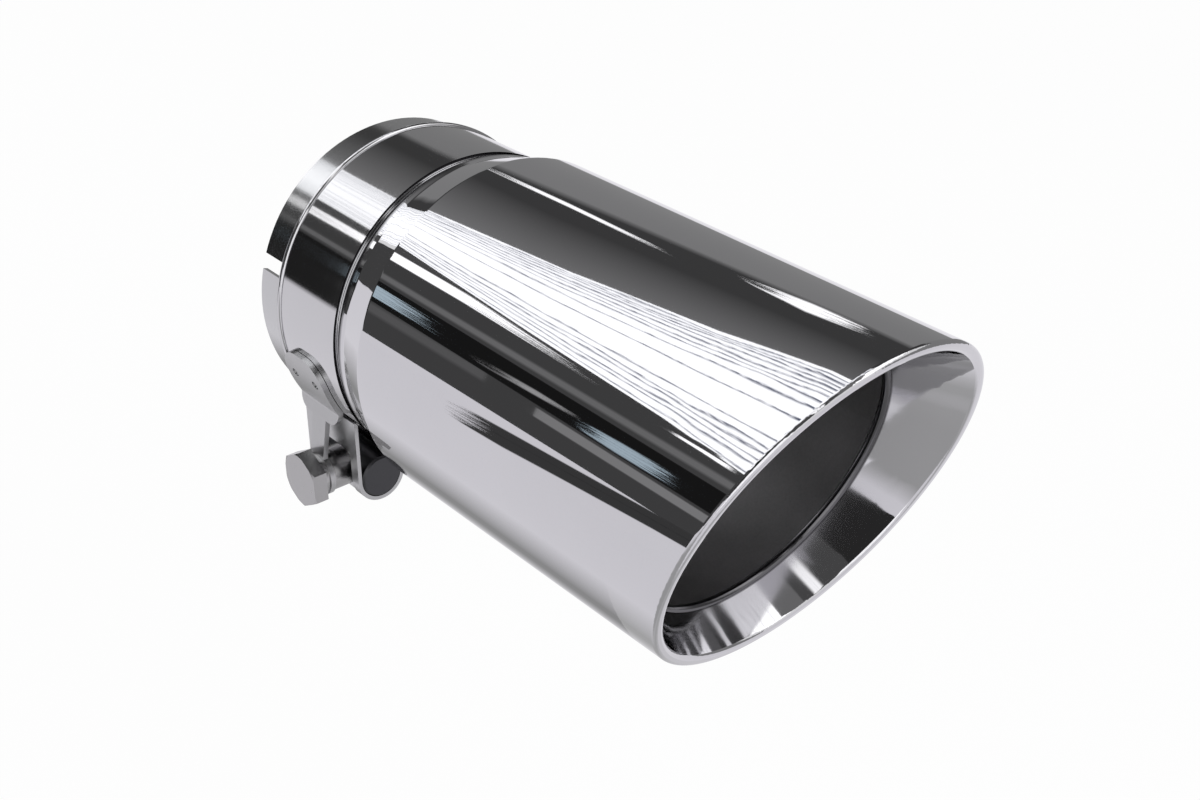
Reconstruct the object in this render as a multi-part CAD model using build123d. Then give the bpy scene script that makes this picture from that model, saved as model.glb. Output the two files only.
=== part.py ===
from build123d import *

import os
from math import asin, cos, degrees, radians, sin, sqrt, tan

# A polished slash-cut exhaust tip that slips over a tailpipe and is held by a band clamp.
# Millimetres. +X runs along the tube towards the outlet, +Z is up, on the long side of
# the slash cut, and the origin is the centre of the inlet's open end.
# Angles round the tube are measured from its lowest line towards -Y.

# Inlet sleeve
PIPE_DIAMETER = 88.9
PIPE_CLEARANCE = 0.2
SLEEVE_WALL = 1.5
SLEEVE_INSERT = 18.0
SLOT_COUNT = 3
SLOT_WIDTH = 4.8
SLOT_LENGTH = 36.0
FIRST_SLOT_ANGLE = 108.0

# Clamp band
BARE_STRIP = 11.0
BAND_WIDTH = 29.5
BAND_WALL = 1.1
BAND_CLEARANCE = 0.1
BAND_EDGE_RADIUS = 0.9
BAND_END_MARGIN = 0.8

# Outer shell
SHELL_WALL = 1.2
NECK_CLEARANCE = 0.1
NECK_GAP = 3.0
NECK_LENGTH = 2.5
SHOULDER_LENGTH = 12.0
SHOULDER_RISE = 3.4
SHOULDER_ROUND = 2.5
BODY_LENGTH = 124.0
SLASH_ANGLE = 21.5

# Mouth
LIP_WIDTH = 2.8
LIP_ROUND = 1.2
THROAT_STEP = 10.2
THROAT_DEPTH = 19.5
THROAT_TILT = 15.2
BEAD_RADIUS = 1.3

# Inner tube
TUBE_WALL = 1.2
TUBE_SEAT = 5.0
TUBE_SEAT_CLEARANCE = 0.1
TUBE_STEP = 1.5
TUBE_TAPER = 14.0
TUBE_ROUND = 4.0
BEAD_GAP = 0.05

# Clamp hardware
CLAMP_PLACE = 22.3
BRACKET_WALL = 1.6
WELD_GAP = 0.1
TAB_WIDTH = 20.0
TAB_SWEEP = 21.5
TAB_CORNER = 8.0
LEG_ANGLE = 60.5
LEG_LEAN = 2.6
LEG_WIDTH = 7.0
LEG_BEND = 3.0
LEG_CORNER = 1.8
HEEL_HEIGHT = 4.5
HEEL_ROUND = 4.4
PAD_RIM = 1.6
WELD_SPOT_DIAMETER = 2.8
WELD_SPOT_DEPTH = 0.4
WELD_SPOT_SPACING = 10.5
WELD_SPOT_PLACE = 0.56
BOLT_DIAMETER = 10.0
BOLT_DROP = 0.1
BOLT_HOLE_CLEARANCE = 0.4
BOLT_END = 0.3
BOLT_CHAMFER = 1.0
HEAD_FLATS = 16.0
HEAD_HEIGHT = 4.5
HEAD_BEVEL = 1.0
HEAD_BEVEL_ANGLE = 30.0
COLLAR_DIAMETER = 13.0
COLLAR_LENGTH = 2.0
COLLAR_PLAY = 0.05
SPACER_DIAMETER = 13.0
SPACER_LENGTH = 6.6
TRUNNION_DIAMETER = 13.4
TRUNNION_LENGTH = 28.0
TRUNNION_FLAT = 1.5
TRUNNION_CHAMFER = 0.6
NUT_CLEARANCE = 0.05
STRAP_WALL = 1.2
STRAP_CLEARANCE = 0.1
STRAP_MARGIN = 0.5
STRAP_WINDOW_CLEARANCE = 3.5
STRAP_WINDOW_ROUND = 4.0
STRAP_WINDOW_SILL = 0.6
STRAP_FOOT_SWEEP = 17.0

# Radii that follow from the pipe outwards
BORE_RADIUS = PIPE_DIAMETER / 2 + PIPE_CLEARANCE
SLEEVE_RADIUS = BORE_RADIUS + SLEEVE_WALL
BAND_INNER_RADIUS = SLEEVE_RADIUS + BAND_CLEARANCE
BAND_RADIUS = BAND_INNER_RADIUS + BAND_WALL
NECK_RADIUS = SLEEVE_RADIUS + NECK_CLEARANCE + SHELL_WALL
BODY_RADIUS = NECK_RADIUS + SHOULDER_RISE
MOUTH_RADIUS = BODY_RADIUS - LIP_WIDTH
THROAT_RADIUS = BODY_RADIUS - THROAT_STEP
BEAD_CENTRE = THROAT_RADIUS + SHELL_WALL / 2

# Places along the tube
BAND_END = BARE_STRIP + BAND_WIDTH
NECK_START = BAND_END + NECK_GAP
SHOULDER_START = NECK_START + NECK_LENGTH
BODY_START = SHOULDER_START + SHOULDER_LENGTH
AXIS_LENGTH = BODY_START + BODY_LENGTH
SLEEVE_LENGTH = NECK_START + SLEEVE_INSERT

# Places across the clamp, from the leg that the bolt head pulls to the trunnion nut
TAB_INNER_RADIUS = BAND_RADIUS + WELD_GAP
TAB_RADIUS = TAB_INNER_RADIUS + BRACKET_WALL
FOOT_RADIUS = TAB_INNER_RADIUS + STRAP_WALL
LEG_TOP_Y = -TAB_RADIUS * sin(radians(LEG_ANGLE))
LEG_TOP_Z = -TAB_RADIUS * cos(radians(LEG_ANGLE))
LEG_OUTER_Y = LEG_TOP_Y - LEG_LEAN
LEG_INNER_Y = LEG_OUTER_Y + BRACKET_WALL
SPACER_END_Y = LEG_INNER_Y + SPACER_LENGTH
TRUNNION_RADIUS = TRUNNION_DIAMETER / 2
TRUNNION_Y = SPACER_END_Y + TRUNNION_RADIUS - TRUNNION_FLAT
LOOP_INNER_RADIUS = TRUNNION_RADIUS + STRAP_CLEARANCE
LOOP_RADIUS = LOOP_INNER_RADIUS + STRAP_WALL
BOLT_Z = -(BAND_RADIUS + BOLT_DROP)
BOLT_TIP_Y = TRUNNION_Y + sqrt(TRUNNION_RADIUS**2 - (BOLT_DIAMETER / 2) ** 2) - BOLT_END
BOLT_HOLE_RADIUS = BOLT_DIAMETER / 2 + BOLT_HOLE_CLEARANCE
PAD_RADIUS = BOLT_HOLE_RADIUS + PAD_RIM

# Cutters reach this far past what they cut
REACH = 20.0


def slanted_plane(axis_x, tilt):
    """A plane across the tube, leaning towards the outlet at its top."""
    normal = (cos(radians(tilt)), 0, -sin(radians(tilt)))
    return Plane(origin=(axis_x, 0, 0), x_dir=(0, 1, 0), z_dir=normal)


def slanted_ellipse(axis_x, tilt, radius):
    """The outline that a slanted plane cuts from a cylinder on the tube's axis."""
    return slanted_plane(axis_x, tilt) * Ellipse(radius, radius / cos(radians(tilt)))


def in_front_of(plane, size):
    """A block that fills the side of a plane that its normal points to."""
    return plane * Pos(0, 0, size / 2) * Box(size, size, size)


def sheet_of_revolution(points, corner_radius, wall):
    """A sheet wall turned about the tube's axis, its outer line through (x, radius) points."""
    outer_line = FilletPolyline(*points, radius=corner_radius)
    section = make_face(offset(outer_line, amount=wall, side=Side.RIGHT, closed=True))
    return revolve(section, axis=Axis.X)


def across_tube(angle, radius, x=0.0):
    """A plane at a radius and an angle from the tube's lowest line, facing outwards."""
    outwards = (0, -sin(radians(angle)), -cos(radians(angle)))
    return Plane(
        origin=(x, radius * outwards[1], radius * outwards[2]), x_dir=(1, 0, 0), z_dir=outwards
    )


def section_plane(x):
    """A plane across the tube at x, whose drawing axes are +Y and +Z."""
    return Plane(origin=(x, 0, 0), x_dir=(0, 1, 0), z_dir=(1, 0, 0))


def ring_sector(inner_radius, outer_radius, start_angle, end_angle):
    """A drawn piece of a ring round the tube, between two angles from its lowest line."""
    middle = (start_angle + end_angle) / 2
    corners = []
    for angle in (start_angle, middle, end_angle):
        corners.append((-sin(radians(angle)), -cos(radians(angle))))
    outer = [(outer_radius * y, outer_radius * z) for y, z in corners]
    inner = [(inner_radius * y, inner_radius * z) for y, z in corners]
    outline = Curve() + [
        ThreePointArc(*outer),
        Line(outer[2], inner[2]),
        ThreePointArc(*reversed(inner)),
        Line(inner[0], outer[0]),
    ]
    return make_face(outline)


def make_inlet_sleeve():
    """The slotted sleeve that slips over the tailpipe."""
    sleeve = Cylinder(SLEEVE_RADIUS, SLEEVE_LENGTH) - Cylinder(BORE_RADIUS, SLEEVE_LENGTH)
    sleeve = Pos(SLEEVE_LENGTH / 2, 0, 0) * Rot(0, 90, 0) * sleeve
    straight = SLOT_LENGTH - SLOT_WIDTH / 2
    outline = Pos(straight / 2, 0) * Rectangle(straight, SLOT_WIDTH)
    outline += Pos(straight, 0) * Circle(SLOT_WIDTH / 2)
    for index in range(SLOT_COUNT):
        angle = FIRST_SLOT_ANGLE + index * 360 / SLOT_COUNT
        sleeve -= extrude(across_tube(angle, BORE_RADIUS / 2) * outline, BORE_RADIUS)
    return sleeve


def make_outer_shell():
    """The polished shell: neck, shoulder, body, rolled lip, mouth and throat bead."""
    mouth_plane = slanted_plane(AXIS_LENGTH, SLASH_ANGLE)
    top_x = AXIS_LENGTH + BODY_RADIUS * tan(radians(SLASH_ANGLE))
    wall = sheet_of_revolution(
        [
            (NECK_START, NECK_RADIUS),
            (SHOULDER_START, NECK_RADIUS),
            (BODY_START, BODY_RADIUS),
            (top_x + REACH, BODY_RADIUS),
        ],
        SHOULDER_ROUND,
        SHELL_WALL,
    )
    wall -= in_front_of(mouth_plane, 4 * BODY_RADIUS)
    throat_x = AXIS_LENGTH - THROAT_DEPTH
    mouth_outer = loft(
        [
            slanted_ellipse(AXIS_LENGTH, SLASH_ANGLE, BODY_RADIUS - SHELL_WALL / 2),
            slanted_ellipse(throat_x, THROAT_TILT, THROAT_RADIUS + SHELL_WALL),
        ],
        ruled=True,
    )
    mouth_inner = loft(
        [
            slanted_ellipse(AXIS_LENGTH, SLASH_ANGLE, MOUTH_RADIUS),
            slanted_ellipse(throat_x, THROAT_TILT, THROAT_RADIUS),
        ],
        ruled=True,
    )
    shell = wall + (mouth_outer - mouth_inner)
    rim_edges = shell.edges().filter_by(
        lambda edge: abs(mouth_plane.to_local_coords(edge.center()).Z) < 0.01
        and abs(mouth_plane.to_local_coords(edge @ 0.3).Z) < 0.01
    )
    shell = fillet(rim_edges, LIP_ROUND)
    bead_path = slanted_ellipse(throat_x, THROAT_TILT, BEAD_CENTRE).edge()
    bead_section = Plane(origin=bead_path @ 0, z_dir=bead_path % 0) * Circle(BEAD_RADIUS)
    bead = sweep(bead_section, path=bead_path)
    return shell + bead


def make_inner_tube():
    """The satin tube from the sleeve, where its taper stops the tailpipe, to the throat bead."""
    seat_radius = SLEEVE_RADIUS + TUBE_SEAT_CLEARANCE + TUBE_WALL
    tube_radius = BEAD_CENTRE + TUBE_WALL / 2
    taper_start = SLEEVE_LENGTH + TUBE_STEP
    throat_x = AXIS_LENGTH - THROAT_DEPTH
    tube = sheet_of_revolution(
        [
            (SLEEVE_LENGTH - TUBE_SEAT, seat_radius),
            (taper_start, seat_radius),
            (taper_start + TUBE_TAPER, tube_radius),
            (AXIS_LENGTH, tube_radius),
        ],
        TUBE_ROUND,
        TUBE_WALL,
    )
    end_x = throat_x - (BEAD_RADIUS + BEAD_GAP) / cos(radians(THROAT_TILT))
    return tube - in_front_of(slanted_plane(end_x, THROAT_TILT), 4 * BODY_RADIUS)


def band_section(clearance=0.0):
    """The band's drawn section: a flat strip with one rolled edge, grown by a clearance."""
    strip = Pos(BARE_STRIP + BAND_WIDTH / 2, BAND_INNER_RADIUS + BAND_WALL / 2) * Rectangle(
        BAND_WIDTH, BAND_WALL + 2 * clearance
    )
    rolled_edge = Pos(BARE_STRIP + BAND_EDGE_RADIUS, BAND_INNER_RADIUS + BAND_EDGE_RADIUS)
    return strip + rolled_edge * Circle(BAND_EDGE_RADIUS + clearance)


def make_clamp_band():
    """The wide band round the sleeve, open between the bracket and the strap."""
    strap_side = degrees(asin((LOOP_RADIUS - TRUNNION_Y) / BAND_RADIUS)) + BAND_END_MARGIN
    bracket_side = LEG_ANGLE - BAND_END_MARGIN
    band = revolve(band_section(), axis=Axis.X)
    gap = ring_sector(BORE_RADIUS, TAB_RADIUS + LOOP_RADIUS, strap_side, bracket_side)
    return band - extrude(section_plane(0) * gap, BAND_END + REACH)


def make_bolt_bracket():
    """The spot-welded tab and the narrow leg with a round pad for the bolt head."""
    tab_end = LEG_ANGLE + TAB_SWEEP
    pad_top = BOLT_Z + PAD_RADIUS
    lean = LEG_LEAN / (LEG_TOP_Z - pad_top)
    leg_line = FilletPolyline(
        (LEG_TOP_Y + lean * LEG_BEND, LEG_TOP_Z + LEG_BEND),
        (LEG_OUTER_Y, pad_top),
        (LEG_OUTER_Y, BOLT_Z - PAD_RADIUS),
        radius=LEG_BEND,
    )
    profile = make_face(offset(leg_line, amount=BRACKET_WALL, side=Side.LEFT, closed=True))
    profile -= Circle(TAB_INNER_RADIUS)
    profile += ring_sector(TAB_INNER_RADIUS, TAB_RADIUS, LEG_ANGLE, tab_end)
    bracket = extrude(section_plane(CLAMP_PLACE - TAB_WIDTH / 2) * profile, TAB_WIDTH)
    bend = bracket.edges().filter_by(Axis.X).sort_by_distance((CLAMP_PLACE, LEG_TOP_Y, LEG_TOP_Z))
    bracket = fillet(bend[0], LEG_CORNER)
    end_z = -TAB_RADIUS * cos(radians(LEG_ANGLE + TAB_SWEEP / 2))
    tab_ends = bracket.edges().filter_by(
        lambda edge: edge.geom_type == GeomType.LINE
        and edge.length < 1.1 * BRACKET_WALL
        and edge.center().Z > end_z
    )
    bracket = fillet(tab_ends, TAB_CORNER)
    heel_z = LEG_TOP_Z - HEEL_HEIGHT
    front = Pos(0, heel_z + TAB_RADIUS) * Rectangle(TAB_WIDTH, 2 * TAB_RADIUS)
    front = fillet(front.vertices().group_by(Axis.Y)[0], HEEL_ROUND)
    front += Pos(0, (heel_z + HEEL_ROUND + BOLT_Z) / 2) * Rectangle(
        LEG_WIDTH, heel_z + HEEL_ROUND - BOLT_Z
    )
    front += Pos(0, BOLT_Z) * Circle(PAD_RADIUS)
    front -= Pos(0, BOLT_Z) * Circle(BOLT_HOLE_RADIUS)
    front_plane = Plane(origin=(CLAMP_PLACE, 0, 0), x_dir=(1, 0, 0), z_dir=(0, -1, 0))
    bracket &= extrude(front_plane * front, 2 * TAB_RADIUS)
    spot_angle = LEG_ANGLE + WELD_SPOT_PLACE * TAB_SWEEP
    for side in (-1, 1):
        spot_x = CLAMP_PLACE + side * WELD_SPOT_SPACING / 2
        spot = across_tube(spot_angle, TAB_RADIUS - WELD_SPOT_DEPTH, spot_x)
        bracket -= spot * extrude(Circle(WELD_SPOT_DIAMETER / 2), BRACKET_WALL)
    return bracket - revolve(band_section(WELD_GAP), axis=Axis.X)


def make_nut_strap():
    """The strap that loops round the trunnion nut, with a window for the bolt."""
    width = TRUNNION_LENGTH - 2 * STRAP_MARGIN
    loop = Circle(LOOP_RADIUS) - Circle(LOOP_INNER_RADIUS)
    loop -= Pos(0, LOOP_RADIUS / 2) * Rectangle(2 * LOOP_RADIUS, LOOP_RADIUS)
    outline = Pos(TRUNNION_Y, BOLT_Z) * loop
    near_y = TRUNNION_Y - LOOP_RADIUS + STRAP_WALL / 2
    far_y = TRUNNION_Y + LOOP_RADIUS - STRAP_WALL / 2
    for leg_y in (near_y, far_y):
        leg_top = -sqrt(TAB_INNER_RADIUS**2 - leg_y**2)
        height = leg_top - BOLT_Z
        outline += Pos(leg_y, BOLT_Z + height / 2) * Rectangle(STRAP_WALL, height)
    foot_start = degrees(asin(-far_y / FOOT_RADIUS))
    outline += ring_sector(
        TAB_INNER_RADIUS, FOOT_RADIUS, foot_start - STRAP_FOOT_SWEEP, foot_start
    )
    strap = extrude(section_plane(CLAMP_PLACE - width / 2) * outline, width)
    window = SPACER_DIAMETER + 2 * STRAP_WINDOW_CLEARANCE
    window_y = SPACER_END_Y + STRAP_WINDOW_SILL - LOOP_RADIUS
    cutter = Box(window, 2 * LOOP_RADIUS, window)
    cutter = fillet(cutter.edges().filter_by(Axis.Y), STRAP_WINDOW_ROUND)
    strap -= Pos(CLAMP_PLACE, window_y, BOLT_Z) * cutter
    return strap - revolve(band_section(WELD_GAP), axis=Axis.X)


def make_trunnion_nut():
    """The round cross nut: a bar along the tube with a seat flat and a tapped cross hole."""
    bar = Cylinder(TRUNNION_RADIUS, TRUNNION_LENGTH)
    bar = chamfer(bar.edges().filter_by(GeomType.CIRCLE), TRUNNION_CHAMFER)
    bar = Pos(CLAMP_PLACE, TRUNNION_Y, BOLT_Z) * Rot(0, 90, 0) * bar
    flat = SPACER_DIAMETER + STRAP_WINDOW_CLEARANCE
    bar -= Pos(CLAMP_PLACE, SPACER_END_Y - TRUNNION_RADIUS, BOLT_Z) * Box(
        flat, TRUNNION_DIAMETER, 2 * TRUNNION_DIAMETER
    )
    hole = Cylinder(BOLT_DIAMETER / 2 + NUT_CLEARANCE, 2 * TRUNNION_DIAMETER)
    return bar - Pos(CLAMP_PLACE, TRUNNION_Y, BOLT_Z) * Rot(90, 0, 0) * hole


def make_spacer_sleeve():
    """The polished sleeve on the bolt between the leg and the nut."""
    sleeve = Cylinder(SPACER_DIAMETER / 2, SPACER_LENGTH)
    sleeve -= Cylinder(BOLT_HOLE_RADIUS, SPACER_LENGTH)
    return Pos(CLAMP_PLACE, (LEG_INNER_Y + SPACER_END_Y) / 2, BOLT_Z) * Rot(90, 0, 0) * sleeve


def make_clamp_bolt():
    """The hex-head bolt, drawn along its own axis with its collar's seat at zero."""
    seat_y = LEG_OUTER_Y - COLLAR_PLAY
    corner_radius = HEAD_FLATS / 2 / cos(radians(30))
    head = extrude(RegularPolygon(corner_radius, 6, rotation=30), HEAD_HEIGHT)
    drop = HEAD_BEVEL * tan(radians(HEAD_BEVEL_ANGLE))
    turned = Polyline(
        (0, 0),
        (corner_radius, 0),
        (corner_radius, HEAD_HEIGHT - drop),
        (corner_radius - HEAD_BEVEL, HEAD_HEIGHT),
        (0, HEAD_HEIGHT),
        close=True,
    )
    head &= revolve(Plane.XZ * make_face(turned), axis=Axis.Z)
    head = Pos(0, 0, COLLAR_LENGTH) * head
    collar = Pos(0, 0, COLLAR_LENGTH / 2) * Cylinder(COLLAR_DIAMETER / 2, COLLAR_LENGTH)
    length = BOLT_TIP_Y - seat_y
    shank = Pos(0, 0, -length / 2) * Cylinder(BOLT_DIAMETER / 2, length)
    shank = chamfer(shank.edges().group_by(Axis.Z)[0], BOLT_CHAMFER)
    return Pos(CLAMP_PLACE, seat_y, BOLT_Z) * Rot(90, 0, 0) * (head + collar + shank)


PIECES = {
    "inlet_sleeve": make_inlet_sleeve,
    "outer_shell": make_outer_shell,
    "inner_tube": make_inner_tube,
    "clamp_band": make_clamp_band,
    "bolt_bracket": make_bolt_bracket,
    "nut_strap": make_nut_strap,
    "trunnion_nut": make_trunnion_nut,
    "spacer_sleeve": make_spacer_sleeve,
    "clamp_bolt": make_clamp_bolt,
}

os.makedirs("parts", exist_ok=True)
for name, make_piece in PIECES.items():
    export_step(make_piece(), f"parts/{name}.step")
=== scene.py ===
"""Looks of a polished slash-cut exhaust tip with its band clamp.

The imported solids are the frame. This script gives each of them its finish, stands the
tip in a white studio with long soft boxes and dark flags, and sets up the camera.
Lengths are metres, and +X runs along the tube towards the outlet.
"""

import logging
import math
from dataclasses import dataclass, field
from enum import Enum
from typing import Any

import bpy
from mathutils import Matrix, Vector


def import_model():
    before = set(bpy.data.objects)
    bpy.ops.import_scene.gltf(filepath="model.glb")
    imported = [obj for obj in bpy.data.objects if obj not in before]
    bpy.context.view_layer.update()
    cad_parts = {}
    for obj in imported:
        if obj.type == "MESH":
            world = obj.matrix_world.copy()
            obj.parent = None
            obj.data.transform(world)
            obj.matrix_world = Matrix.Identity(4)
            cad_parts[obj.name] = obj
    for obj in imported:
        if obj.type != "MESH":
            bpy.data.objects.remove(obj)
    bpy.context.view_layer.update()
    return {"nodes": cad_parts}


LOG = logging.getLogger("exhaust_tip")

Colour = tuple[float, float, float]
Stops = list[tuple[float, float]]
Stations = tuple[tuple[float, float, float], ...]

WHITE: Colour = (1.0, 1.0, 1.0)
BLUE: Colour = (0.72, 0.89, 1.0)

# Numbers of a Mix node's colour sockets, whose names repeat
MIX_LOW = 6
MIX_HIGH = 7
MIX_RESULT = 2

# Noise in the finishes and the cards
NOISE_ROUGHNESS = 0.55
NOISE_MIDDLE = 0.5

# Marks in the steel
HAIRLINE_DETAIL = 4.0
SCRATCH_STOPS: Stops = [(0.55, 0.0), (0.72, 1.0)]
CLOUD_SCALE = (38.0, 38.0, 38.0)
CLOUD_DETAIL = 3.0
CLOUD_SEED = 3.1
CLOUD_TONE_SHARE = 0.7
CLOUD_ROUGH_SHARE = 0.4
SPECKLE_SCALE = (1500.0, 1500.0, 1500.0)
SPECKLE_DETAIL = 1.0
SPECKLE_SEED = 5.7
SPECKLE_TONE_SHARE = 0.3
WAVE_DETAIL = 2.0
WAVE_SEED = 9.0
WAVE_STRETCH = 0.3

# Make of the studio cards
GRID_SIZE = 1.0
GRID_HALF = GRID_SIZE / 2.0
CARD_STRIPS = 8
RAMP_FOLDS = 10
FOLD_WIDTH = 0.011
FOLD_SWAY = 0.085
FOLD_FRAY = 0.024
FOLD_DEPTH = 1.35
FOLD_TINT: Colour = (0.05, 0.06, 0.1)
FOLD_DETAIL = 3.0
SWAY_SCALE = 9.0
FRAY_SCALE = 95.0
FRAY_STOPS: Stops = [(0.32, 0.2), (0.6, 1.0)]
REACH_STOPS: Stops = [(0.3, 0.75), (0.8, 1.0)]
STREAK_SCALE = (2.0, 34.0, 1.0)
STREAK_DETAIL = 2.0
STREAK_STOPS: Stops = [(0.35, 0.0), (0.65, 1.0)]


class Grain(Enum):
    """The way that the marks of polishing run, as noise cells in a metre along X, Y and Z."""

    ROUND = (900.0, 9.0, 9.0)
    EVEN = (420.0, 420.0, 420.0)


class Sock:
    """A shader value that can be used in a Python expression."""

    def __init__(self, graph: "Graph", socket: Any) -> None:
        """Wraps a socket of a node in a graph."""
        self.graph = graph
        self.socket = socket

    def _math(self, operation: str, first: Any, second: Any) -> "Sock":
        """Adds one Math node.

        Args:
            operation: Blender's name of the operation.
            first: The first value, a number or a wrapped socket.
            second: The second value, a number or a wrapped socket.

        Returns:
            The node's result.
        """
        return self.graph.node("ShaderNodeMath", {"operation": operation}, {0: first, 1: second})

    def __add__(self, other: Any) -> "Sock":
        """This value plus another."""
        return self._math("ADD", self, other)

    def __radd__(self, other: Any) -> "Sock":
        """Another value plus this one."""
        return self._math("ADD", other, self)

    def __sub__(self, other: Any) -> "Sock":
        """This value less another."""
        return self._math("SUBTRACT", self, other)

    def __rsub__(self, other: Any) -> "Sock":
        """Another value less this one."""
        return self._math("SUBTRACT", other, self)

    def __mul__(self, other: Any) -> "Sock":
        """This value times another."""
        return self._math("MULTIPLY", self, other)

    def __rmul__(self, other: Any) -> "Sock":
        """Another value times this one."""
        return self._math("MULTIPLY", other, self)

    def __gt__(self, other: Any) -> "Sock":
        """One where this value is the greater, and nought elsewhere."""
        return self._math("GREATER_THAN", self, other)

    def __lt__(self, other: Any) -> "Sock":
        """One where this value is the smaller, and nought elsewhere."""
        return self._math("LESS_THAN", self, other)

    def highest(self, other: Any) -> "Sock":
        """The greater of this value and another."""
        return self._math("MAXIMUM", self, other)


class Graph:
    """A node tree that is filled from Python."""

    def __init__(self, tree: bpy.types.NodeTree) -> None:
        """Empties a node tree and holds it."""
        self.tree = tree
        tree.nodes.clear()

    def node(
        self,
        kind: str,
        settings: dict[str, Any] | None = None,
        inputs: dict[Any, Any] | None = None,
        output: Any = 0,
    ) -> Sock:
        """Adds a node, sets it and links its inputs.

        Args:
            kind: The node's type.
            settings: Its own settings, or the stops of a colour ramp under "stops".
            inputs: A number, colour or wrapped socket for each named or numbered input.
            output: The name or number of the output that is returned.

        Returns:
            That output, wrapped.
        """
        made = self.tree.nodes.new(kind)
        for name, value in (settings or {}).items():
            if name == "stops":
                self._set_stops(made.color_ramp, value)
            else:
                setattr(made, name, value)
        for name, value in (inputs or {}).items():
            if isinstance(value, Sock):
                self.tree.links.new(value.socket, made.inputs[name])
            else:
                made.inputs[name].default_value = value
        return Sock(self, made.outputs[output] if len(made.outputs) else None)

    @staticmethod
    def _set_stops(ramp: bpy.types.ColorRamp, stops: Stops) -> None:
        """Gives a ramp its grey stops.

        Args:
            ramp: The ramp, which starts with two stops.
            stops: Pairs of place and value, from low to high places.
        """
        while len(ramp.elements) < len(stops):
            ramp.elements.new(1.0)
        for element, (place, value) in zip(ramp.elements, stops):
            element.position = place
            element.color = (value, value, value, 1.0)

    def noise(self, scale: tuple[float, float, float], detail: float, seed: float) -> Sock:
        """Noise on the piece's own coordinates.

        Args:
            scale: How many cells there are in a metre along X, Y and Z.
            detail: How many finer octaves are added.
            seed: A shift that makes one pattern unlike another.

        Returns:
            The noise, around one half.
        """
        place = self.node("ShaderNodeTexCoord", output="Object")
        spread = self.node(
            "ShaderNodeMapping",
            inputs={"Vector": place, "Location": (seed, seed, seed), "Scale": scale},
        )
        return self.node(
            "ShaderNodeTexNoise",
            inputs={
                "Vector": spread,
                "Scale": 1.0,
                "Detail": detail,
                "Roughness": NOISE_ROUGHNESS,
            },
        )

    def ramp(self, value: Sock, stops: Stops) -> Sock:
        """A value sent through a ramp of grey stops."""
        return self.node("ShaderNodeValToRGB", {"stops": stops}, {"Fac": value})

    def part(self, vector: Sock, axis: str) -> Sock:
        """One axis of a vector."""
        return self.node("ShaderNodeSeparateXYZ", inputs={"Vector": vector}, output=axis)

    def blend(self, share: Sock, low: Any, high: Any) -> Sock:
        """A colour between two others, by its share of the second."""
        sockets = {"Factor": share, MIX_LOW: low, MIX_HIGH: high}
        return self.node("ShaderNodeMix", {"data_type": "RGBA"}, sockets, output=MIX_RESULT)


def rgba(colour: Colour, level: float = 1.0) -> tuple[float, float, float, float]:
    """A colour times a level, with full alpha."""
    return (colour[0] * level, colour[1] * level, colour[2] * level, 1.0)


def seen_directly(graph: Graph) -> Sock:
    """Tells looking from lighting.

    Args:
        graph: The node tree that asks.

    Returns:
        One for what the camera, a mirror or glass looks at, and nought for plain light.
    """
    camera = graph.node("ShaderNodeLightPath", output="Is Camera Ray")
    glossy = graph.node("ShaderNodeLightPath", output="Is Glossy Ray")
    through = graph.node("ShaderNodeLightPath", output="Is Transmission Ray")
    return camera.highest(glossy).highest(through)


@dataclass(frozen=True)
class DullAndShadeStrip:
    """A strip across the tube: duller polish at the mouth, painted shade elsewhere.

    It lies between two places along X, which lean with Z by the slope, inside a radius.
    Its colour takes the place of the finish's own there, and its roughness is added.
    """

    start: float
    end: float
    colour: Colour
    roughness: float
    slope: float = 0.0
    inside: float = 1.0
    soft: float = 0.0002

    def mask(self, graph: Graph) -> Sock:
        """One on the strip and nought elsewhere.

        Args:
            graph: The finish's node tree.

        Returns:
            The mask, soft at the strip's edges.
        """
        place = graph.node("ShaderNodeTexCoord", output="Object")
        x = graph.part(place, "X")
        y = graph.part(place, "Y")
        z = graph.part(place, "Z")
        along = x - z * self.slope
        rise = self._edge(graph, along, self.start, 0.0, 1.0)
        fall = self._edge(graph, along, self.end, 1.0, 0.0)
        return rise * fall * (self.inside * self.inside > y * y + z * z)

    def _edge(self, graph: Graph, along: Sock, place: float, low: float, high: float) -> Sock:
        """Makes one soft edge of the strip.

        Args:
            graph: The finish's node tree.
            along: The place along the tube, leaned by the slope.
            place: The middle of the edge.
            low: The level before the edge.
            high: The level after it.

        Returns:
            The level, which changes softly at the edge.
        """
        return graph.node(
            "ShaderNodeMapRange",
            inputs={
                "Value": along,
                "From Min": place - self.soft,
                "From Max": place + self.soft,
                "To Min": low,
                "To Max": high,
            },
        )


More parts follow.
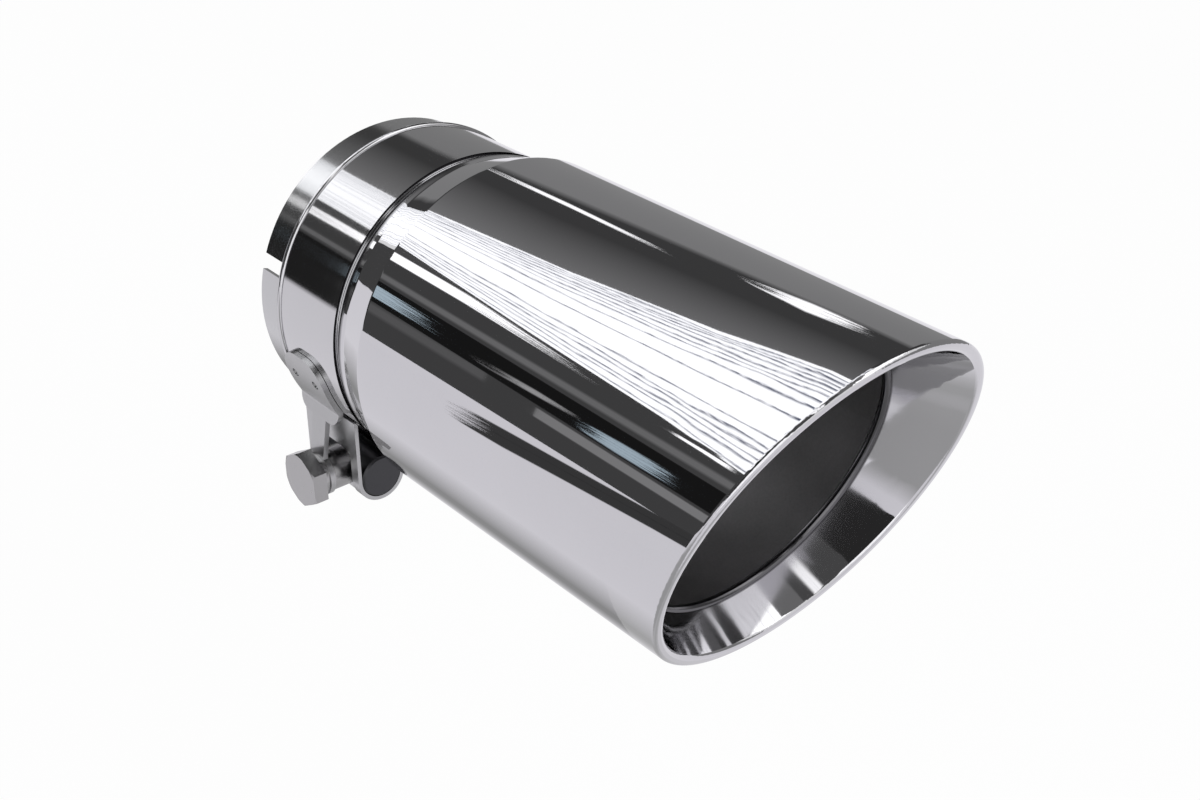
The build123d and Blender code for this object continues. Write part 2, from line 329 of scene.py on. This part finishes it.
@dataclass(frozen=True)
class SteelFinish:
    """A steel surface: its tone, its gloss, the marks that were left in it and its painted shade.
    """

    name: str
    colour: Colour
    roughness: float
    grain: Grain
    seed: float
    tone_spread: float = 0.04
    rough_spread: float = 0.03
    scratch_share: float = 0.35
    scratch_depth: float = 0.6e-6
    wave_scale: float = 45.0
    wave_depth: float = 2.0e-6
    dull_and_shade: tuple[DullAndShadeStrip, ...] = ()

    def material(self) -> bpy.types.Material:
        """Makes the finish as a node material.

        Returns:
            The material, ready for a slot.
        """
        made = bpy.data.materials.new(self.name)
        made.use_nodes = True
        graph = Graph(made.node_tree)
        hairline = graph.noise(self.grain.value, HAIRLINE_DETAIL, self.seed)
        cloud = graph.noise(CLOUD_SCALE, CLOUD_DETAIL, self.seed + CLOUD_SEED)
        speckle = graph.noise(SPECKLE_SCALE, SPECKLE_DETAIL, self.seed + SPECKLE_SEED)
        scratch = graph.ramp(hairline, SCRATCH_STOPS) * self.scratch_share
        tone = graph.blend(
            cloud * CLOUD_TONE_SHARE + speckle * SPECKLE_TONE_SHARE,
            rgba(self.colour, 1.0 - self.tone_spread),
            rgba(self.colour, 1.0 + self.tone_spread),
        )
        roughness = self.roughness + (scratch + cloud * CLOUD_ROUGH_SHARE) * self.rough_spread
        # Each strip lays its colour over the tone: duller polish at the mouth, painted shade
        # elsewhere.
        for strip in self.dull_and_shade:
            mask = strip.mask(graph)
            tone = graph.blend(mask, tone, rgba(strip.colour))
            roughness = roughness + mask * strip.roughness
        surface = graph.node(
            "ShaderNodeBsdfPrincipled",
            inputs={
                "Base Color": tone,
                "Metallic": 1.0,
                "Roughness": roughness,
                "Normal": self._relief(graph, hairline),
            },
        )
        graph.node("ShaderNodeOutputMaterial", inputs={"Surface": surface})
        return made

    def _relief(self, graph: Graph, hairline: Sock) -> Sock:
        """Lays the hairlines over the slow waves of rolled sheet.

        Args:
            graph: The finish's node tree.
            hairline: The noise of the polishing marks.

        Returns:
            The surface's normal.
        """
        waves = (self.wave_scale * WAVE_STRETCH, self.wave_scale, self.wave_scale)
        wave = graph.noise(waves, WAVE_DETAIL, self.seed + WAVE_SEED)
        waved = graph.node(
            "ShaderNodeBump",
            inputs={"Strength": 1.0, "Distance": self.wave_depth, "Height": wave},
        )
        return graph.node(
            "ShaderNodeBump",
            inputs={
                "Strength": 1.0,
                "Distance": self.scratch_depth,
                "Height": hairline,
                "Normal": waved,
            },
        )


THROAT_ANGLE = 15.2
THROAT_SLOPE = math.tan(math.radians(THROAT_ANGLE))
# Painted shade: the shell's neck beside the band is darkened for the shade in the gap there.
NECK_PAINTED_SHADE = DullAndShadeStrip(
    start=0.0,
    end=0.0441,
    colour=(0.1, 0.098, 0.104),
    roughness=0.2,
    soft=0.0006,
)
MOUTH_SOFT = DullAndShadeStrip(
    start=0.15,
    end=0.171,
    colour=(0.58, 0.575, 0.595),
    roughness=0.1,
    slope=THROAT_SLOPE,
    inside=0.0487,
    soft=0.0075,
)
# Painted shade: the rolled edge at the throat is darkened to stand for the dark inside that it
# reflects.
THROAT_PAINTED_SHADE = DullAndShadeStrip(
    start=0.1609,
    end=0.1641,
    colour=(0.13, 0.128, 0.135),
    roughness=0.05,
    slope=THROAT_SLOPE,
    inside=0.0435,
)
# Painted shadow: the sleeve is nearly black in the gap between band and shell, where the shadow
# falls.
SLEEVE_GAP_PAINTED_SHADOW = DullAndShadeStrip(
    start=0.0412,
    end=0.07,
    colour=(0.03, 0.028, 0.032),
    roughness=0.5,
)

SHELL_POLISH = SteelFinish(
    name="shell_polish",
    colour=(0.615, 0.61, 0.63),
    roughness=0.02,
    grain=Grain.ROUND,
    seed=1.0,
    dull_and_shade=(NECK_PAINTED_SHADE, MOUTH_SOFT, THROAT_PAINTED_SHADE),
)
BAND_POLISH = SteelFinish(
    name="band_polish",
    colour=(0.58, 0.575, 0.59),
    roughness=0.06,
    grain=Grain.ROUND,
    seed=12.0,
)
SLEEVE_POLISH = SteelFinish(
    name="sleeve_polish",
    colour=(0.56, 0.56, 0.57),
    roughness=0.12,
    grain=Grain.ROUND,
    seed=23.0,
    rough_spread=0.08,
    dull_and_shade=(SLEEVE_GAP_PAINTED_SHADOW,),
)
TUBE_SATIN = SteelFinish(
    name="tube_satin",
    colour=(0.45, 0.447, 0.45),
    roughness=0.34,
    grain=Grain.ROUND,
    seed=34.0,
    tone_spread=0.4,
    rough_spread=0.12,
    scratch_depth=3e-6,
)
CLAMP_SATIN = SteelFinish(
    name="clamp_satin",
    colour=(0.48, 0.48, 0.485),
    roughness=0.25,
    grain=Grain.EVEN,
    seed=45.0,
    rough_spread=0.14,
    scratch_depth=6e-6,
)
BOLT_PLATE = SteelFinish(
    name="bolt_plate",
    colour=(0.42, 0.416, 0.418),
    roughness=0.22,
    grain=Grain.EVEN,
    seed=56.0,
    rough_spread=0.12,
    scratch_depth=4e-6,
)
NUT_DARK = SteelFinish(
    name="nut_dark",
    colour=(0.075, 0.075, 0.08),
    roughness=0.36,
    grain=Grain.EVEN,
    seed=67.0,
    rough_spread=0.14,
    scratch_depth=4e-6,
)


def dress(nodes: dict[str, bpy.types.Object], name: str, finish: SteelFinish) -> None:
    """Puts a finish into every material slot of a solid.

    Args:
        nodes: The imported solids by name.
        name: The solid to dress.
        finish: The finish that it gets.
    """
    made = finish.material()
    for slot in nodes[name].material_slots:
        slot.material = made
    LOG.info("%s wears %s", name, finish.name)


@dataclass
class TipBody:
    """The tube itself: shell, satin inner tube and slotted inlet sleeve."""

    shell: SteelFinish = SHELL_POLISH
    tube: SteelFinish = TUBE_SATIN
    sleeve: SteelFinish = SLEEVE_POLISH

    def finish(self, nodes: dict[str, bpy.types.Object]) -> None:
        """Dresses the tube's solids.

        Args:
            nodes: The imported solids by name.
        """
        dress(nodes, "outer_shell", self.shell)
        dress(nodes, "inner_tube", self.tube)
        dress(nodes, "inlet_sleeve", self.sleeve)


@dataclass
class BandClamp:
    """The wide band and the bolt, bracket, strap and nut that draw it tight."""

    band: SteelFinish = BAND_POLISH
    sheet: SteelFinish = CLAMP_SATIN
    bolt: SteelFinish = BOLT_PLATE
    nut: SteelFinish = NUT_DARK

    def finish(self, nodes: dict[str, bpy.types.Object]) -> None:
        """Dresses the clamp's solids.

        Args:
            nodes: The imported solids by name.
        """
        dress(nodes, "clamp_band", self.band)
        dress(nodes, "bolt_bracket", self.sheet)
        dress(nodes, "nut_strap", self.sheet)
        dress(nodes, "spacer_sleeve", self.bolt)
        dress(nodes, "clamp_bolt", self.bolt)
        dress(nodes, "trunnion_nut", self.nut)


@dataclass(frozen=True)
class Card:
    """A card beside the tube, seen only in the polished metal.

    Each station is a place along X with the angles where the card starts and ends there,
    measured round the tube's axis from straight up towards -Y. Feather and fade are the
    shares of its width and length that thin out at each edge, ragged is how far streaks
    bite into its ends, and folds are the places across it of thin dark lines. A lamp is
    also sampled as a light.
    """

    name: str
    stations: Stations
    level: float
    radius: float
    tint: Colour = WHITE
    feather: float = 0.0
    fade: float = 0.0
    ragged: float = 0.0
    folds: tuple[float, ...] = ()
    is_lamp: bool = False

    def build(self) -> bpy.types.Object:
        """Stands the card up and hides it from the camera and from shadows.

        Returns:
            The card's object.
        """
        spans = len(self.stations) - 1
        bpy.ops.object.select_all(action="DESELECT")
        bpy.ops.mesh.primitive_grid_add(
            x_subdivisions=spans, y_subdivisions=CARD_STRIPS, size=GRID_SIZE
        )
        made = bpy.context.object
        made.name = self.name
        for corner in made.data.vertices:
            step = (corner.co.x + GRID_HALF) * spans
            place, start, end = self.stations[round(step)]
            angle = math.radians(start + (corner.co.y + GRID_HALF) * (end - start))
            corner.co = (place, -self.radius * math.sin(angle), self.radius * math.cos(angle))
        made.data.materials.append(self._material())
        made.visible_camera = False
        made.visible_shadow = False
        return made

    def _material(self) -> bpy.types.Material:
        """Makes the card's glow, with its soft edges and its folds.

        Returns:
            The material of this card.
        """
        made = bpy.data.materials.new(self.name)
        made.use_nodes = True
        graph = Graph(made.node_tree)
        colour: Any = rgba(self.tint)
        place = graph.node("ShaderNodeTexCoord", output="UV")
        if self.folds:
            colour = self._folded(graph, place)
        surface = graph.node(
            "ShaderNodeEmission", inputs={"Color": colour, "Strength": self.level}
        )
        if self.feather or self.fade:
            clear = graph.node("ShaderNodeBsdfTransparent")
            surface = graph.node(
                "ShaderNodeMixShader",
                inputs={"Fac": self._cover(graph, place), 1: clear, 2: surface},
            )
        graph.node("ShaderNodeOutputMaterial", inputs={"Surface": surface})
        if not self.is_lamp:
            made.cycles.emission_sampling = "NONE"
        return made

    def _cover(self, graph: Graph, place: Sock) -> Sock:
        """Works out where the card is whole and where its edges thin out.

        Args:
            graph: The card's node tree.
            place: The card's own coordinates.

        Returns:
            One where the card is whole, falling to nought at its soft edges.
        """
        cover: Any = 1.0
        if self.feather:
            cover = self._ends(graph, graph.part(place, "Y"), self.feather) * cover
        if self.fade:
            spread = graph.node(
                "ShaderNodeMapping", inputs={"Vector": place, "Scale": STREAK_SCALE}
            )
            noise = graph.node(
                "ShaderNodeTexNoise",
                inputs={"Vector": spread, "Scale": 1.0, "Detail": STREAK_DETAIL},
            )
            streak = graph.ramp(noise, STREAK_STOPS) * self.ragged
            cover = self._ends(graph, graph.part(place, "X"), self.fade, streak) * cover
        return cover

    @staticmethod
    def _ends(graph: Graph, run: Sock, width: float, bite: Any = 0.0) -> Sock:
        """Fades a run at both its ends.

        Args:
            graph: The card's node tree.
            run: A value that goes from nought to one.
            width: How much of the run each end takes to fade.
            bite: How much shorter the run is at each end.

        Returns:
            One along the run, falling to nought at its ends.
        """
        rise = graph.ramp(run - bite, [(0.0, 0.0), (width, 1.0)])
        fall = graph.ramp(1.0 - run - bite, [(0.0, 0.0), (width, 1.0)])
        return rise * fall

    def _folded(self, graph: Graph, place: Sock) -> Sock:
        """Draws thin dark folds along the card.

        Args:
            graph: The card's node tree.
            place: The card's own coordinates.

        Returns:
            The card's colour with the folds in it.
        """
        across = graph.part(place, "Y")
        sway = graph.node(
            "ShaderNodeTexNoise",
            inputs={"Vector": place, "Scale": SWAY_SCALE, "Detail": FOLD_DETAIL},
        )
        fray = graph.node(
            "ShaderNodeTexNoise",
            inputs={"Vector": place, "Scale": FRAY_SCALE, "Detail": FOLD_DETAIL},
        )
        swayed = across + (sway - NOISE_MIDDLE) * FOLD_SWAY + (fray - NOISE_MIDDLE) * FOLD_FRAY
        lines = self._lines(graph, swayed, self.folds[:RAMP_FOLDS])
        if len(self.folds) > RAMP_FOLDS:
            lines = lines.highest(self._lines(graph, swayed, self.folds[RAMP_FOLDS:]))
        reach = graph.ramp(graph.part(place, "X"), REACH_STOPS)
        depth = graph.ramp(fray, FRAY_STOPS) * reach
        return graph.blend(lines * depth * FOLD_DEPTH, rgba(self.tint), rgba(FOLD_TINT))

    @staticmethod
    def _lines(graph: Graph, across: Sock, folds: tuple[float, ...]) -> Sock:
        """Marks the folds across a card.

        Args:
            graph: The card's node tree.
            across: The place across the card.
            folds: The folds' middles, no more than one ramp can hold.

        Returns:
            One on each fold's middle, falling to nought beside it.
        """
        stops = []
        for fold in folds:
            stops += [(fold - FOLD_WIDTH, 0.0), (fold, 1.0), (fold + FOLD_WIDTH, 0.0)]
        return graph.ramp(across, stops)


TOP_CARDS = (
    Card(
        name="far_wall",
        stations=(
            (-14.0, -104.0, -40.0),
            (-2.08, -104.0, -43.0),
            (-1.03, -104.0, -61.0),
            (3.0, -104.0, -61.0),
        ),
        level=0.27,
        radius=1.8,
        feather=0.1,
    ),
    Card(
        name="roof_dark",
        stations=(
            (-14.0, -55.0, 20.0),
            (-2.08, -55.0, 20.0),
            (-1.0, -70.0, 0.0),
            (0.3, -70.0, 0.0),
        ),
        level=0.06,
        radius=1.85,
    ),
    Card(
        name="roof_grey",
        stations=(
            (-2.6, -30.0, 46.0),
            (-1.66, -31.0, 46.0),
            (-1.02, -42.0, 26.0),
            (-0.6, -46.0, 14.0),
        ),
        level=0.25,
        radius=1.75,
        feather=0.5,
    ),
    Card(
        name="far_gleam",
        stations=((-1.77, -45.0, -41.5), (-1.5, -47.0, -43.0), (-1.25, -46.5, -43.5)),
        level=1.7,
        radius=1.6,
        feather=0.25,
        fade=0.04,
        ragged=0.35,
    ),
    Card(
        name="far_sliver",
        stations=((-1.14, -55.0, -52.0), (-1.0, -61.0, -50.0), (-0.88, -63.0, -55.0)),
        level=1.7,
        radius=1.6,
        feather=0.15,
        fade=0.05,
        ragged=0.4,
        folds=(0.3, 0.62),
    ),
    Card(
        name="soft_box",
        stations=(
            (-14.0, -30.0, 20.0),
            (-5.6, -35.0, 22.0),
            (-1.87, 8.0, 36.0),
            (-1.66, 8.0, 37.5),
            (-1.31, 0.0, 44.0),
            (-1.02, -10.0, 48.0),
            (-0.83, -20.0, 53.0),
            (0.1, -24.0, 56.0),
        ),
        level=1.75,
        radius=1.5,
        tint=(0.98, 0.99, 1.0),
        folds=(
            (0.03, 0.06, 0.09, 0.125, 0.165, 0.21, 0.26, 0.33, 0.46, 0.68)
            + (0.76, 0.8, 0.86, 0.9, 0.96)
        ),
        is_lamp=True,
    ),
)

SIDE_CARDS = (
    Card(
        name="near_dark",
        stations=(
            (-14.0, 26.0, 112.0),
            (-2.05, 32.0, 98.0),
            (-1.2, 38.0, 95.0),
            (0.3, 42.0, 95.0),
        ),
        level=0.07,
        radius=1.75,
    ),
    Card(
        name="near_gleam",
        stations=(
            (-2.5, 41.5, 47.5),
            (-1.74, 42.0, 48.0),
            (-1.41, 42.5, 48.5),
            (-1.1, 47.5, 51.0),
        ),
        level=1.9,
        radius=1.45,
        feather=0.1,
        fade=0.02,
        ragged=0.4,
    ),
    Card(
        name="near_grey",
        stations=((-2.6, 56.0, 60.0), (-0.75, 58.0, 63.5)),
        level=0.2,
        radius=1.5,
        feather=0.3,
    ),
    Card(
        name="near_black",
        stations=((-2.1, 62.0, 76.0), (-0.7, 66.0, 79.0)),
        level=0.012,
        radius=1.5,
    ),
    Card(
        name="low_grey",
        stations=((-1.23, 79.0, 85.0), (-0.85, 80.0, 85.0)),
        level=0.28,
        radius=1.5,
        feather=0.12,
    ),
    Card(
        name="low_dim",
        stations=((-1.95, 78.0, 86.0), (-1.35, 76.0, 84.0)),
        level=0.13,
        radius=1.5,
        feather=0.3,
    ),
    Card(
        name="high_window",
        stations=((-1.11, 72.0, 77.0), (-1.02, 70.8, 77.8), (-0.9, 70.0, 77.5)),
        level=0.7,
        radius=1.45,
        tint=BLUE,
        feather=0.12,
        fade=0.04,
        ragged=0.35,
        folds=(0.2, 0.4, 0.6, 0.8),
    ),
    Card(
        name="mid_flicker",
        stations=((-1.35, 72.0, 75.5), (-1.2, 70.5, 74.0), (-1.09, 70.8, 72.5)),
        level=0.45,
        radius=1.45,
        feather=0.25,
        fade=0.05,
        ragged=0.45,
        folds=(0.35, 0.6),
    ),
    Card(
        name="near_notch",
        stations=((-0.95, 50.3, 51.5), (-0.885, 49.2, 51.5), (-0.835, 50.0, 52.0)),
        level=0.07,
        radius=1.42,
        feather=0.15,
        fade=0.05,
        ragged=0.2,
    ),
    Card(
        name="near_glint",
        stations=((-0.945, 51.5, 52.8), (-0.88, 51.6, 53.4), (-0.82, 52.0, 54.4)),
        level=1.8,
        radius=1.43,
        feather=0.15,
        fade=0.04,
        ragged=0.15,
    ),
    Card(
        name="low_window",
        stations=((-2.1, 66.5, 74.0), (-1.42, 66.5, 74.0)),
        level=0.75,
        radius=1.45,
        tint=BLUE,
        fade=0.03,
        ragged=0.25,
        folds=(0.3, 0.55),
    ),
    Card(
        name="low_flag",
        stations=((-2.3, 63.0, 101.0), (-1.595, 63.0, 101.0)),
        level=0.02,
        radius=1.4,
        feather=0.1,
    ),
    Card(
        name="low_patch",
        stations=(
            (-0.58, 103.5, 114.0),
            (-0.5, 100.0, 111.5),
            (-0.42, 97.0, 107.0),
            (-0.33, 93.5, 102.5),
            (-0.16, 89.0, 96.0),
        ),
        level=0.055,
        radius=0.7,
        feather=0.06,
        fade=0.02,
        ragged=0.17,
        folds=(0.45,),
    ),
)

FRONT_CARDS = (
    Card(
        name="front_soft",
        stations=((0.3, -46.0, -16.0), (2.6, -46.0, -16.0)),
        level=1.9,
        radius=1.5,
        folds=(0.2, 0.35, 0.5, 0.8),
        is_lamp=True,
    ),
    Card(
        name="front_grey",
        stations=((0.3, -17.0, 5.0), (2.6, -17.0, 5.0)),
        level=0.2,
        radius=1.55,
    ),
    Card(
        name="front_strip",
        stations=((0.3, 13.0, 24.0), (2.6, 13.0, 24.0)),
        level=1.5,
        radius=1.5,
        feather=0.2,
        folds=(0.4, 0.6),
    ),
    Card(
        name="front_shade",
        stations=((0.3, 4.0, 46.0), (3.2, 4.0, 46.0)),
        level=0.09,
        radius=1.55,
    ),
    Card(
        name="front_dark",
        stations=((0.3, 44.0, 85.0), (1.08, 44.0, 85.0)),
        level=0.03,
        radius=1.6,
    ),
    Card(
        name="front_side",
        stations=((0.7, 44.0, 114.0), (2.2, 44.0, 114.0)),
        level=1.6,
        radius=0.8,
        feather=0.08,
        folds=(0.15, 0.3, 0.42, 0.55, 0.68, 0.8),
    ),
    Card(
        name="front_haze",
        stations=((0.3, 84.0, 97.0), (3.2, 84.0, 97.0)),
        level=0.88,
        radius=1.65,
        tint=(1.0, 0.985, 1.03),
    ),
    Card(
        name="front_blot",
        stations=((0.06, 96.0, 176.0), (0.36, 96.0, 176.0)),
        level=0.45,
        radius=0.34,
        feather=0.16,
        fade=0.15,
    ),
)

# Painted shadow: dark cards under the tube stand for its shadow on the floor, as the metal reflects
# it.
FLOOR_CARDS = (
    Card(
        name="floor_shade",
        stations=((-1.4, 150.0, 212.0), (-0.05, 150.0, 212.0)),
        level=0.33,
        radius=0.3,
        feather=0.45,
    ),
    Card(
        name="mouth_shade",
        stations=((-0.05, 150.0, 212.0), (0.5, 150.0, 212.0)),
        level=0.49,
        radius=0.3,
        feather=0.45,
    ),
)


@dataclass
class Studio:
    """A white room: pale floor, long soft boxes and dark flags round the tube."""

    floor_z: float = -0.35
    floor_size: float = 14.0
    floor_matt: Colour = (0.9, 0.9, 0.91)
    floor_gloss: Colour = (0.905, 0.892, 0.93)
    floor_glow: float = 0.97
    room_light: float = 0.7
    cards: tuple[Card, ...] = TOP_CARDS + SIDE_CARDS + FRONT_CARDS + FLOOR_CARDS

    def build(self) -> None:
        """Builds the floor, the cards and the world."""
        self._floor()
        for card in self.cards:
            card.build()
        self._world()
        LOG.info("studio has %d cards", len(self.cards))

    def _floor(self) -> None:
        """Lays the pale floor, which glows enough to look white and keeps a trace of shadow."""
        bpy.ops.object.select_all(action="DESELECT")
        bpy.ops.mesh.primitive_plane_add(size=self.floor_size, location=(0.0, 0.0, self.floor_z))
        floor = bpy.context.object
        floor.name = "floor"
        material = bpy.data.materials.new("pale_floor")
        material.use_nodes = True
        graph = Graph(material.node_tree)
        matt = graph.node("ShaderNodeBsdfDiffuse", inputs={"Color": rgba(self.floor_matt)})
        eye = graph.node("ShaderNodeLightPath", output="Is Camera Ray")
        tone = graph.blend(eye, rgba(self.floor_gloss), rgba(WHITE))
        glow = graph.node("ShaderNodeEmission", inputs={"Color": tone})
        surface = graph.node(
            "ShaderNodeMixShader",
            inputs={"Fac": seen_directly(graph) * self.floor_glow, 1: matt, 2: glow},
        )
        graph.node("ShaderNodeOutputMaterial", inputs={"Surface": surface})
        floor.data.materials.append(material)

    def _world(self) -> None:
        """Makes the room white to the eye and to gloss, and a plain light elsewhere."""
        world = bpy.data.worlds.new("white_room")
        bpy.context.scene.world = world
        world.use_nodes = True
        graph = Graph(world.node_tree)
        level = self.room_light + seen_directly(graph) * (1.0 - self.room_light)
        light = graph.node("ShaderNodeBackground", inputs={"Color": rgba(WHITE), "Strength": level})
        graph.node("ShaderNodeOutputWorld", inputs={"Surface": light})


@dataclass
class PhotoCamera:
    """The camera at the photograph's place."""

    place: Vector = field(default_factory=lambda: Vector((0.40591, -0.25938, 0.22532)))
    aim: Vector = field(default_factory=lambda: Vector((0.0749, 0.0206, -0.0237)))
    lens: float = 50.99
    sensor: float = 36.0
    clip_start: float = 0.01

    def build(self) -> None:
        """Sets the camera up and makes it the scene's own."""
        data = bpy.data.cameras.new("photo_camera")
        data.lens = self.lens
        data.sensor_width = self.sensor
        data.sensor_fit = "HORIZONTAL"
        data.clip_start = self.clip_start
        camera = bpy.data.objects.new("photo_camera", data)
        bpy.context.scene.collection.objects.link(camera)
        camera.location = self.place
        camera.rotation_euler = (self.aim - self.place).to_track_quat("-Z", "Y").to_euler()
        bpy.context.scene.camera = camera


def main() -> None:
    """Dresses the frame, builds the studio and sets the camera."""
    logging.basicConfig(level=logging.INFO)
    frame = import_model()
    nodes = frame["nodes"]
    TipBody().finish(nodes)
    BandClamp().finish(nodes)
    Studio().build()
    PhotoCamera().build()
    bpy.context.scene.view_settings.view_transform = "Standard"


if __name__ == "__main__":
    main()
